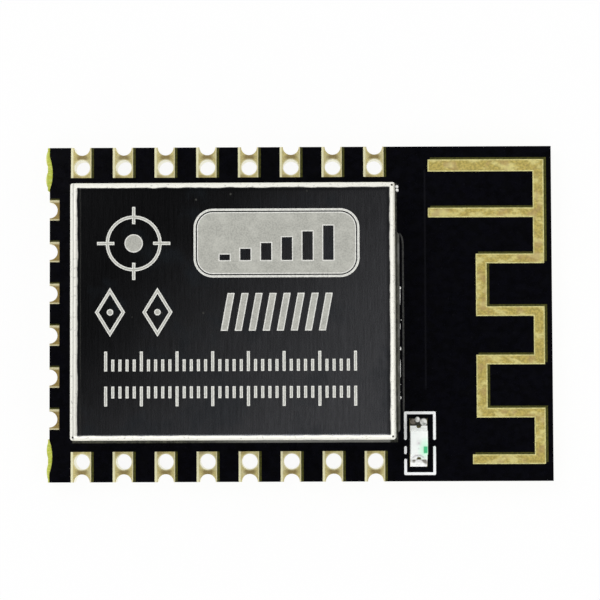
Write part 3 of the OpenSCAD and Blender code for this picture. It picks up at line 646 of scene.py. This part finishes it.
class FinishCan(bpy.types.Operator):
    """Finish the shield can and its marking"""
    bl_idname = "module.finish_can"
    bl_label = "Shield can"

    def execute(self, context):
        look = context.scene.module_can
        self.metal(look)
        self.marking(look)
        return {"FINISHED"}

    def metal(self, look):
        f = Finish("Can metal")
        from_left = f.x - can_low.x / MM
        from_right = can_high.x / MM - f.x
        from_top = can_high.y / MM - f.y
        from_bottom = f.y - can_low.y / MM
        panel = f.rise(f.z, can_high.z / MM - 0.05, can_high.z / MM - 0.02)
        wave = (f.noise(1.4, detail=2.0) - 0.5) * 0.12
        for distance, rim in ((from_left, look.left_rim), (from_right, look.right_rim),
                              (from_top, look.upper_rim), (from_bottom, look.lower_rim)):
            panel = panel * f.rise(distance + wave, rim / MM - 0.03, rim / MM + 0.03)

        # painted reflection: the brushed face is painted darker towards its upper left corner and lighter
        # towards its lower right
        brushed = f.noise(1.0, detail=5.0, roughness=0.7, where=f.stretched(15.0, 0.35, 1.0))
        fine = f.noise(1.0, detail=3.0, roughness=0.7, where=f.stretched(34.0, 1.6, 1.0))
        patch = f.noise(0.42, detail=3.0)
        slope = f.rise(from_left - from_bottom * 0.9 + 4.0 * patch, -4.0, 17.0)
        tone = f.mix(slope, shade(look.panel, 0.32), shade(look.panel, 3.6))
        tone = f.mix(f.rise(brushed, 0.34, 0.66) * 0.55, tone, f.mix(
            slope, shade(look.panel, 0.14), shade(look.panel, 2.0)))
        tone = f.mix(f.rise(patch, 0.50, 0.66) * 0.35, tone, (0.075, 0.100, 0.125))
        specks = f.rise(f.cells(0.85), 0.055, 0.03)
        tone = f.mix(specks * 0.6, tone, shade(look.rim, 0.5))
        shadow = f.rise(from_top.smaller(from_right), 0.50, 0.30)
        tone = f.mix(shadow * 0.55, tone, shade(look.panel, 0.15))
        # painted reflection: a light line just inside the left fold
        line = f.band(from_left + 0.5 * wave, 0.49, 0.54, 0.02) * f.rise(brushed, 0.3, 0.6)
        tone = f.mix(line * 0.5, tone, shade(look.rim, 0.35))

        # painted highlight: the folds are painted bright, the left one with a dull line along it between two
        # painted highlights
        flecks = f.noise(7.0, detail=4.0)
        edge = f.mix(f.rise(flecks, 0.56, 0.72), look.rim, shade(look.rim, 0.62))
        dull = f.band(from_left + 0.3 * wave, 0.15, 0.21, 0.03) * f.rise(
            f.z, can_high.z / MM - 0.3, can_high.z / MM - 0.2)
        edge = f.mix(dull * 0.6, edge, shade(look.rim, 0.30))
        # painted shade: the walls below the folds are painted darker
        wall = f.rise(f.z, can_high.z / MM - 0.30, can_high.z / MM - 0.36)
        edge = f.mix(wall, edge, shade(look.rim, 0.72))
        dress(f.shaded(
            base_color=f.mix(panel, edge, tone),
            metallic=(0.55 + 0.4 * wall) * (1.0 - panel) + panel,
            roughness=(0.20 + 0.14 * fine) * panel + (0.34 + 0.15 * fine) * (1.0 - panel),
            normal=f.bump(brushed * 0.7 + fine * 0.3, 0.004, 0.4)), "shield_can", "crystal_lid")

    def marking(self, look):
        f = Finish("Pale marking")
        grain = f.noise(13.0, detail=4.0, roughness=0.7)
        cloud = f.noise(1.8, detail=2.0)
        tone = f.mix(f.rise(grain, 0.36, 0.60), shade(look.marking, 0.74), look.marking)
        tone = f.mix(f.rise(cloud, 0.4, 0.7) * 0.4, tone, shade(look.marking, 1.25))
        fill = f.shaded(
            base_color=tone,
            roughness=0.6 + 0.2 * grain,
            specular_ior_level=0.2,
            normal=f.bump(grain, 0.004))

        f = Finish("Marking outline")
        grain = f.noise(10.0, detail=3.0)
        line = f.shaded(
            base_color=f.mix(f.rise(grain, 0.40, 0.62), look.marking_line, shade(look.marking_line, 0.8)),
            roughness=0.6 + 0.2 * grain,
            specular_ior_level=0.2,
            normal=f.bump(grain, 0.003))
        outlined("can_marking_print", "can_marking", look.marking_width, [fill, line])


# ---------- solder ----------

class FinishSolder(bpy.types.Operator):
    """Finish the solder along the can and at the lamp, and add small drops beside it"""
    bl_idname = "module.finish_solder"
    bl_label = "Solder"

    # Drops along the seam: place along it, half length and half width, in millimetres
    SEAM_DROPS = ((1.22, 0.08, 0.05), (0.80, 0.42, 0.022), (-1.68, 0.09, 0.055), (-2.63, 0.46, 0.02),
                  (-4.02, 0.08, 0.05), (-0.62, 0.16, 0.018))

    def execute(self, context):
        look = context.scene.module_can
        self.seam(look)
        bright = self.bright(look)
        self.lamp_joints(look)
        self.drops(look, bright)
        return {"FINISHED"}

    def bright(self, look):
        f = Finish("Bright solder")
        frost = f.noise(6.0, detail=4.0)
        return f.shaded(
            base_color=f.mix(f.rise(frost, 0.45, 0.7), look.bright_solder, shade(look.bright_solder, 0.6)),
            metallic=0.5,
            roughness=0.28 + 0.2 * frost,
            normal=f.bump(frost, 0.01))

    def seam(self, look):
        """Solder at the can's foot painted dark, a painted reflection; grey along its outer edge, a painted
        highlight; the stray beads are bright.
        """
        f = Finish("Seam solder")
        frost = f.noise(6.0, detail=4.0, roughness=0.6)
        patches = f.rise(f.noise(1.4, detail=2.0, where=f.stretched(0.2, 1.0, 1.0)), 0.42, 0.60)
        outer_x = strip_high.x / MM
        # painted highlight: grey along the solder's outer edge, in patches; the same grey lies below the
        # can's lower edge on the right
        edge = f.band(f.x, outer_x - 0.09, outer_x + 0.05, 0.02) * (0.35 + 0.65 * patches)
        under = f.rise(f.y, can_low.y / MM - 0.01, can_low.y / MM - 0.05) * f.rise(f.x, -6.0, -1.0)
        # painted reflection: the solder is painted dark
        tone = f.mix(f.rise(frost, 0.42, 0.64), (0.014, 0.014, 0.007), (0.055, 0.055, 0.036))
        tone = f.mix(edge.larger(under) * (0.6 + 0.5 * frost), tone, look.solder)
        bead = f.rise(f.x, can_high.x / MM + 0.04, can_high.x / MM + 0.08) * f.rise(
            f.y, can_high.y / MM - 0.34, can_high.y / MM - 0.30)
        tone = f.mix(bead, tone, look.bright_solder)
        dress(f.shaded(
            base_color=tone,
            metallic=0.45,
            roughness=0.32 + 0.3 * frost,
            normal=f.bump(frost, 0.02)), "can_solder")

    def lamp_joints(self, look):
        """Bright solder at the lamp's lower end; painted shade, dark, between the lumps at its upper end."""
        f = Finish("Lamp solder")
        across = f.x - lamp_middle.x / MM
        along = f.y - lamp_middle.y / MM
        top = lamp_high.y / MM - lamp_middle.y / MM
        frost = f.noise(7.0, detail=4.0)
        tone = f.mix(f.rise(frost, 0.5, 0.75), look.bright_solder, shade(look.bright_solder, 0.7))
        wedges = f.spot(across + 0.24, (along + top + 0.04) * 0.6, 0.08, 0.05).larger(
            f.spot((across - 0.25) + (along + top + 0.08) * 0.6, (along + top + 0.08) * 0.6, 0.11, 0.05))
        tone = f.mix(wedges * 0.9, tone, (0.17, 0.15, 0.12))
        lump_left = f.spot(across + 0.27, along - top - 0.22, 0.13, 0.03)
        lump_middle = f.spot(across + 0.05, along - top - 0.32, 0.12, 0.03)
        lump_right = f.spot(across - 0.24, along - top - 0.2, 0.17, 0.03)
        # painted shade in the gap between the left and middle lumps
        gap = f.spot((across + 0.17) * 1.4, along - top - 0.24, 0.05, 0.04)
        core = f.spot((across - 0.26) * 0.7, along - top - 0.12, 0.05, 0.04)
        # painted shade: dark round and between the lumps beyond the lamp's upper end
        darkening = f.rise(along, top + 0.01, top + 0.04)
        tone = f.mix(darkening, tone, (0.018, 0.017, 0.008))
        tone = f.mix(lump_left, tone, (0.20, 0.17, 0.14))
        tone = f.mix(lump_middle.larger(lump_right), tone, look.bright_solder)
        tone = f.mix(gap * 0.9, tone, (0.018, 0.017, 0.008))
        tone = f.mix(core * 0.85, tone, (0.30, 0.33, 0.30))
        dress(f.shaded(
            base_color=tone,
            metallic=0.3,
            roughness=0.30 + 0.2 * frost,
            normal=f.bump(frost, 0.008)), "lamp_solder")

    def drops(self, look, material):
        """Slim drops along the seam and a few crumbs, each a squashed ball."""
        chance = random.Random(4)
        foot = varnish_high.z
        places = [(strip_high.x + 0.02 * MM, y * MM, half_l * MM, half_w * MM)
                  for y, half_l, half_w in self.SEAM_DROPS]
        for number in range(look.crumbs):
            y = chance.uniform(can_low.y + 1.5 * MM, can_high.y - 6.0 * MM)
            size = chance.uniform(0.015, 0.03) * MM
            places.append((strip_high.x + chance.uniform(-0.02, 0.09) * MM, y, size, size))
        shape = bmesh.new()
        for x, y, half_l, half_w in places:
            made = bmesh.ops.create_icosphere(shape, subdivisions=2, radius=1.0)["verts"]
            bmesh.ops.scale(shape, verts=made, vec=(half_w, half_l, half_w))
            bmesh.ops.translate(shape, verts=made, vec=(x, y, foot + 0.6 * half_w))
        for face in shape.faces:
            face.smooth = True
        added_piece("solder_drops", shape, [material])


# ---------- lamp ----------

class FinishLamp(bpy.types.Operator):
    """Finish the status lamp"""
    bl_idname = "module.finish_lamp"
    bl_label = "Status lamp"

    # Feet of the bonding wires: place from the lamp's middle and radius in millimetres, share, colour
    FEET = ((-0.03, -0.02, 0.05, 0.45, (0.52, 0.40, 0.46)), (-0.04, -0.27, 0.03, 0.5, (0.66, 0.50, 0.62)),
            (-0.04, -0.69, 0.035, 0.8, (0.15, 0.17, 0.15)))

    def execute(self, context):
        look = context.scene.module_lamp
        self.body(look)
        self.lens(look)
        self.mark_and_die(look)
        self.terminals(look)
        self.tin()
        return {"FINISHED"}

    def face(self, f, look):
        """The lamp's colours seen from above: resin, green mark, bonding wires and their feet."""
        haze = f.noise(5.0, detail=3.0)
        across = f.x - lamp_middle.x / MM
        along = f.y - lamp_middle.y / MM
        tone = f.mix(f.rise(haze, 0.35, 0.7), look.body, look.lens)
        low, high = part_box("lamp_mark")
        left, lower = (low.x - lamp_middle.x) / MM, (low.y - lamp_middle.y) / MM
        right, upper = (high.x - lamp_middle.x) / MM, (high.y - lamp_middle.y) / MM
        near = f.rise(f.away(across - (left + right) / 2, (along - (lower + upper) / 2) * 0.6), 0.44, 0.06)
        tone = f.mix(near * look.glow, tone, (0.50, 0.98, 0.70))
        mark = f.band(across, left, right, 0.03) * f.band(along, lower, upper, 0.04)
        tone = f.mix(mark * 0.9, tone, look.green)
        arc = f.band(f.away(across + 0.04, along + 0.92), 0.29, 0.36, 0.035) * f.rise(along, -0.80, -0.68)
        tone = f.mix(arc * 0.75, tone, (0.36, 0.34, 0.38))
        for x, y, radius, share, colour in self.FEET:
            tone = f.mix(f.spot(across - x, along - y, radius, 0.04) * share, tone, colour)
        return tone

    def body(self, look):
        f = Finish("Lamp base")
        grain = f.noise(8.0)
        tone = self.face(f, look)
        dress(f.shaded(
            base_color=tone,
            roughness=0.35 + 0.2 * grain,
            # painted glow: the white resin glows
            emission_color=tone,
            emission_strength=look.light,
            normal=f.bump(grain, 0.003)), "lamp_base")

    def lens(self, look):
        f = Finish("Lamp lens")
        haze = f.noise(5.0, detail=3.0)
        tone = self.face(f, look)
        dress(f.shaded(
            base_color=tone,
            roughness=0.10 + 0.12 * haze,
            # painted glow: the lens glows
            emission_color=tone,
            emission_strength=look.light,
            alpha=look.haze + 0.1 * haze,
            normal=f.bump(haze, 0.006)), "lamp_lens")

    def mark_and_die(self, look):
        f = Finish("Lamp mark")
        grain = f.noise(10.0)
        green = f.mix(f.rise(grain, 0.35, 0.65), look.green, shade(look.green, 0.7))
        dress(f.shaded(
            base_color=green,
            roughness=0.4 + 0.1 * grain,
            # painted glow: the green mark glows
            emission_color=green,
            emission_strength=0.2), "lamp_mark")

        f = Finish("Lamp die")
        grain = f.noise(12.0)
        pit = f.spot(f.x - lamp_middle.x / MM + 0.03, (f.y - lamp_middle.y / MM + 0.02) * 1.2, 0.05, 0.05)
        tone = f.mix(f.rise(grain, 0.3, 0.7), (0.90, 0.90, 0.90), (0.80, 0.80, 0.82))
        dress(f.shaded(
            base_color=f.mix(pit, tone, (0.52, 0.42, 0.46)),
            metallic=0.1,
            roughness=0.35 + 0.1 * grain), "lamp_die")

    def terminals(self, look):
        """Bright tin, washed over by the white resin."""
        f = Finish("Lamp terminals")
        grain = f.noise(11.0, detail=4.0)
        tin = f.mix(f.rise(grain, 0.35, 0.7), (0.95, 0.95, 0.94), (0.74, 0.74, 0.73))
        tone = f.mix(0.65, tin, self.face(f, look))
        dress(f.shaded(
            base_color=tone,
            metallic=0.1,
            roughness=0.35 + 0.2 * grain,
            # painted glow: the terminals glow
            emission_color=tone,
            emission_strength=look.light,
            normal=f.bump(grain, 0.005)), "lamp_terminals")

    def tin(self):
        f = Finish("Tin plate")
        grain = f.noise(11.0, detail=4.0)
        dress(f.shaded(
            base_color=f.mix(f.rise(grain, 0.35, 0.7), (0.94, 0.94, 0.93), (0.74, 0.74, 0.73)),
            metallic=0.25,
            roughness=0.35 + 0.2 * grain,
            normal=f.bump(grain, 0.005)), "radio_terminals", "memory_leads", "chip_caps")


# ---------- parts under the can ----------

class FinishCircuit(bpy.types.Operator):
    """Finish the parts under the shield can"""
    bl_idname = "module.finish_circuit"
    bl_label = "Parts under the can"

    # Name of the finish, colour, roughness, grains a millimetre, and the solids that have it
    PLAIN = (
        ("Black resin", (0.022, 0.022, 0.025), 0.55, 18.0, ("radio_chip", "memory_chip")),
        ("White ceramic", (0.78, 0.76, 0.68), 0.45, 10.0, ("crystal_base",)),
        ("Brown ceramic", (0.45, 0.32, 0.19), 0.40, 14.0, ("capacitor",)),
        ("Black film", (0.025, 0.025, 0.03), 0.30, 14.0, ("resistor",)),
        ("Blue ceramic", (0.08, 0.12, 0.28), 0.35, 14.0, ("coil",)),
    )

    def execute(self, context):
        for name, colour, roughness, scale, solids in self.PLAIN:
            f = Finish(name)
            grain = f.noise(scale, detail=4.0)
            dress(f.shaded(
                base_color=f.mix(f.rise(grain, 0.3, 0.7), colour, shade(colour, 0.7)),
                roughness=roughness + 0.2 * grain,
                normal=f.bump(grain, 0.006)), *solids)
        return {"FINISHED"}


# ---------- studio ----------

class SetStage(bpy.types.Operator):
    """Set the pale floor, the soft lights and the camera"""
    bl_idname = "module.set_stage"
    bl_label = "Studio"

    def execute(self, context):
        look = context.scene.module_stage
        self.floor(look)
        self.walls(look)
        self.light("Key light", look.key, 0.30, (-0.22, 0.20, 0.30))
        self.light("Fill light", look.fill, 0.26, (0.30, -0.10, 0.24))
        self.light("Front light", look.fill, 0.26, (-0.02, -0.32, 0.24))
        self.camera(look)
        context.scene.view_settings.view_transform = "Standard"
        return {"FINISHED"}

    def floor(self, look):
        """White where the camera, a metal or a clear piece sees it, with the shadow left in."""
        shape = bmesh.new()
        bmesh.ops.create_grid(shape, x_segments=2, y_segments=2, size=0.8)
        mesh = bpy.data.meshes.new("floor")
        shape.to_mesh(mesh)
        shape.free()
        mesh.transform(Matrix.Translation((0, 0, cad_box[0].z - 0.01 * MM)))
        floor = bpy.data.objects.new("floor", mesh)
        bpy.context.scene.collection.objects.link(floor)
        f = Finish("Pale floor")
        grain = f.noise(0.8)
        paper = f.node("ShaderNodeBsdfDiffuse", {}, {
            "Color": f.mix(f.rise(grain, 0.3, 0.7), (0.93, 0.93, 0.93), (0.95, 0.95, 0.95))})
        glow = f.node("ShaderNodeEmission", {}, {"Color": (1, 1, 1, 1), "Strength": 1.0})
        seen = f.seen("Is Camera Ray", "Is Glossy Ray", "Is Transmission Ray")
        mixed = f.node("ShaderNodeMixShader", {}, {0: seen * look.floor_glow, 1: paper, 2: glow})
        end = f.tree.nodes.new("ShaderNodeOutputMaterial")
        f.tree.links.new(mixed.out, end.inputs[0])
        mesh.materials.append(f.material)

    def walls(self, look):
        """White all round as far as the camera sees, with a dark ceiling for the metal to reflect."""
        world = bpy.data.worlds.new("Studio")
        bpy.context.scene.world = world
        f = Nodes(world)
        up = f.node("ShaderNodeSeparateXYZ", {}, {0: f.node("ShaderNodeTexCoord", out="Generated")}, out="Z")
        height = f.rise(up, 0.70, 0.93)
        seen = f.seen("Is Camera Ray", "Is Transmission Ray")
        light = height * (look.ceiling - look.sides) + look.sides
        strength = light * (1.0 - seen) + seen
        background = f.node("ShaderNodeBackground", {}, {"Color": (1, 1, 1, 1), "Strength": strength})
        end = f.tree.nodes.new("ShaderNodeOutputWorld")
        f.tree.links.new(background.out, end.inputs[0])

    def light(self, name, radiance, size, place):
        lamp = bpy.data.lights.new(name, "AREA")
        lamp.shape = "SQUARE"
        lamp.size = size
        lamp.energy = radiance * math.pi * size * size
        holder = bpy.data.objects.new(name, lamp)
        bpy.context.scene.collection.objects.link(holder)
        holder.location = place
        holder.rotation_euler = (-Vector(place)).to_track_quat("-Z", "Y").to_euler()

    def camera(self, look):
        data = bpy.data.cameras.new("Camera")
        data.sensor_width = 36
        data.lens = 94.0
        data.shift_y = 0.05
        data.clip_start = 0.001
        data.clip_end = 10
        holder = bpy.data.objects.new("Camera", data)
        bpy.context.scene.collection.objects.link(holder)
        holder.location = (0.257 * MM, -3.348 * MM, look.camera_height)
        turn = [math.radians(angle) for angle in (1.971, 0.226, -0.221)]
        holder.rotation_euler = (
            Matrix.Rotation(turn[0], 3, "X") @ Matrix.Rotation(turn[1], 3, "Y")
            @ Matrix.Rotation(turn[2], 3, "Z")).to_euler()
        bpy.context.scene.camera = holder


# ---------- sidebar and registration ----------

STEPS = (FinishBoard, AddCoveredCopper, FinishPads, FinishCan, FinishSolder, FinishLamp, FinishCircuit,
         SetStage)


class ModulePanel(bpy.types.Panel):
    """Lists the steps that finish the module"""
    bl_idname = "VIEW3D_PT_radio_module"
    bl_label = "Radio Module"
    bl_space_type = "VIEW_3D"
    bl_region_type = "UI"
    bl_category = "Radio Module"

    def draw(self, context):
        for step in STEPS:
            self.layout.operator(step.bl_idname)
        for key, look in LOOKS.items():
            box = self.layout.box()
            for name in look.__annotations__:
                box.prop(getattr(context.scene, key), name)


CLASSES = (*LOOKS.values(), *STEPS, ModulePanel)


def register():
    for cls in CLASSES:
        bpy.utils.register_class(cls)
    for key, look in LOOKS.items():
        setattr(bpy.types.Scene, key, bpy.props.PointerProperty(type=look))


def unregister():
    for key in LOOKS:
        delattr(bpy.types.Scene, key)
    for cls in reversed(CLASSES):
        bpy.utils.unregister_class(cls)


def main():
    register()
    for step in STEPS:
        group, name = step.bl_idname.split(".")
        getattr(getattr(bpy.ops, group), name)()


if __name__ == "__main__":
    main()
